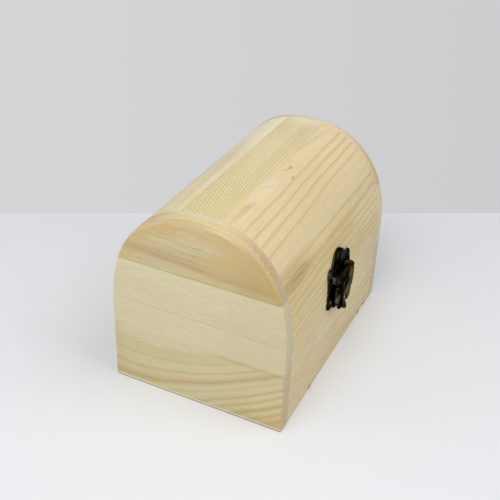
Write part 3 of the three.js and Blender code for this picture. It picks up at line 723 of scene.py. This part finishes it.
def arris_widths(mesh, width_at):
    """How wide each edge is eased: width_at gives it at an edge's middle, flat ones stay"""
    faces_of = {}
    for face in mesh.polygons:
        for key in face.edge_keys:
            faces_of.setdefault(key, []).append(face.normal.copy())
    for edge in mesh.edges:
        normals = faces_of.get(tuple(sorted(edge.vertices)), [])
        if len(normals) == 2 and normals[0].angle(normals[1], 0) > EDGE_ANGLE:
            a, b = (mesh.vertices[v].co / MM for v in edge.vertices)
            yield width_at((a + b) / 2)
        else:
            yield 0.0


def ease(piece, width_at):
    """Takes the sharpness off a piece's edges. The last material goes on what is eased."""
    widths = list(arris_widths(piece.data, width_at))
    widest = max(widths)
    weights = piece.data.attributes.new("bevel_weight_edge", "FLOAT", "EDGE")
    weights.data.foreach_set("value", [w / widest for w in widths])
    bevel = piece.modifiers.new("Bevel", "BEVEL")
    bevel.width = widest * MM
    bevel.segments = ARRIS_SEGMENTS
    bevel.limit_method = "WEIGHT"
    bevel.use_clamp_overlap = True
    bevel.material = len(piece.data.materials) - 1
    alone(piece)
    bpy.ops.object.modifier_apply(modifier=bevel.name)
    bpy.ops.object.shade_smooth_by_angle(angle=SMOOTH_ANGLE)


def board_arris(middle):
    """Outside corners are well eased, glued and sawn edges are nearly sharp"""
    at_foot = middle.z < TOUCHING
    outside = [abs(middle.x) > HALF_LENGTH - TOUCHING, abs(middle.y) > HALF_DEPTH - TOUCHING,
               at_foot]
    if sum(outside) >= 2:
        return FOOT_ARRIS if at_foot else CORNER_ARRIS
    return PARTING_ARRIS if abs(middle.z - PARTING) < TOUCHING else GLUED_ARRIS


def dress(node, materials, slot, width_at):
    """A CAD node's finished piece"""
    piece = copied(node, node + "_finished")
    for material in materials:
        piece.data.materials.append(material)
    ease(piece, width_at)
    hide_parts(node)
    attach(piece, frame["nodes"][node]["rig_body"])


def dress_boards():
    front_pine, back_pine = base_board_pine(), back_board_pine()
    left_lower, right_lower = lower_end_pine(-1, 1), lower_end_pine(1, 11)
    for node, material, slot in (
            ("base_end_left", left_lower, "pale_pine"),
            ("lid_end_left_lower", left_lower, "pale_pine"),
            ("lid_end_left_upper", upper_end_pine(-1, 2), "brown_pine"),
            ("base_end_right", right_lower, "pale_pine"),
            ("lid_end_right_lower", right_lower, "pale_pine"),
            ("lid_end_right_upper", upper_end_pine(1, 12), "brown_pine"),
            ("base_front", front_pine, "front_pine"),
            ("base_back", back_pine, "front_pine"),
            ("base_bottom", panel_pine(), "panel_wood"),
            ("lid_front_board", lid_board_pine(), "front_pine"),
            ("lid_front_stave", front_stave_pine(), "stave_pine"),
            ("lid_crown_stave", crown_stave_pine(), "stave_pine"),
            ("lid_back_stave", back_stave_pine(), "stave_pine"),
            ("lid_back_board", back_pine, "front_pine")):
        dress(node, [material], slot, board_arris)


def dress_hardware():
    """Hasp and hinges, each with its plating and a rubbed one for its eased edges"""
    hasp = [bronze("dark_bronze_finish", (0.026, 0.023, 0.018, 1), (0.075, 0.062, 0.040, 1),
                   0.6, 0.32, PAINTED_GLINTS_AND_WORN_PLATING),
            bronze("rubbed_bronze_edge", (0.035, 0.029, 0.019, 1), (0.16, 0.13, 0.085, 1),
                   0.8, 0.3, PAINTED_GLINTS_AND_WORN_PLATING)]
    hinge = [bronze("hinge_bronze_finish", (0.05, 0.038, 0.022, 1), (0.12, 0.09, 0.05, 1),
                    0.6, 0.36),
             bronze("rubbed_hinge_edge", (0.14, 0.11, 0.06, 1), (0.24, 0.18, 0.1, 1), 0.6, 0.3)]
    for node in sorted(frame["nodes"]):
        if node.startswith("hasp_"):
            dress(node, hasp, "dark_bronze", lambda middle: HASP_ARRIS)
        elif node.startswith("hinge_"):
            dress(node, hinge, "hinge_bronze", lambda middle: HINGE_ARRIS)


# Floor, background and light
def set_floor():
    """A floor that ends where the photograph shows the wall"""
    left, right = (floor_point(across, FLOOR_LINE) for across in (-PICTURE / 2, PICTURE / 2))
    along = (right - left).normalized()
    towards = along.cross(Vector((0, 0, 1)))
    if towards.dot(Vector(EYE)) < 0:
        towards = -towards
    bpy.ops.mesh.primitive_plane_add(size=1)
    floor = bpy.context.object
    floor.name = "studio_floor"
    place = Matrix((along * FLOOR_SIZE, towards * FLOOR_SIZE, Vector((0, 0, 1))))
    place = place.transposed().to_4x4()
    place.translation = (left + right) / 2 + towards * (FLOOR_SIZE / 2)
    floor.matrix_world = place
    material, tree, shader = new_material("floor_paper")
    shader.inputs["Base Color"].default_value = (0.826, 0.84, 0.862, 1)
    shader.inputs["Roughness"].default_value = 0.8
    shader.inputs["Specular IOR Level"].default_value = 0.1
    floor.data.materials.append(material)


def set_room():
    """Light from all round, and a grey wall behind the floor, with painted shade that darkens it to
    the right
    """
    world = bpy.data.worlds.new("studio")
    bpy.context.scene.world = world
    world.use_nodes = True
    tree = world.node_tree
    across = tree.nodes.new("ShaderNodeVectorMath")
    across.operation = "DOT_PRODUCT"
    across.inputs[1].default_value = photo_axes()[0]
    tree.links.new(tree.nodes.new("ShaderNodeTexCoord").outputs["Generated"], across.inputs[0])
    to_right = Field(tree, across.outputs["Value"]).step(-0.32, 0.32)
    wall = plain_colour(tree, srgb(213, 213, 215)).tinted(srgb(205, 205, 207), to_right)
    seen = Field(tree, tree.nodes.new("ShaderNodeLightPath").outputs["Is Camera Ray"])
    room = plain_colour(tree, (0.40, 0.40, 0.41, 1)).tinted(wall, seen)
    tree.links.new(room.socket, tree.nodes["Background"].inputs["Color"])


def set_soft_boxes():
    for way, power in SOFT_BOXES:
        place = LIT_PLACE + Vector(way).normalized() * SOFT_BOX_DISTANCE
        bpy.ops.object.light_add(type="AREA", location=place)
        lamp = bpy.context.object
        lamp.name = "soft_box"
        lamp.data.shape, lamp.data.size = "DISK", SOFT_BOX_SIZE
        lamp.data.energy = power
        lamp.matrix_world = (Matrix.Translation(place)
                             @ (LIT_PLACE - place).to_track_quat("-Z", "Y").to_matrix().to_4x4())


scene = bpy.context.scene
scene.view_settings.view_transform = "Standard"
scene.view_settings.look = "None"
set_camera()
set_floor()
set_room()
set_soft_boxes()
dress_boards()
dress_hardware()
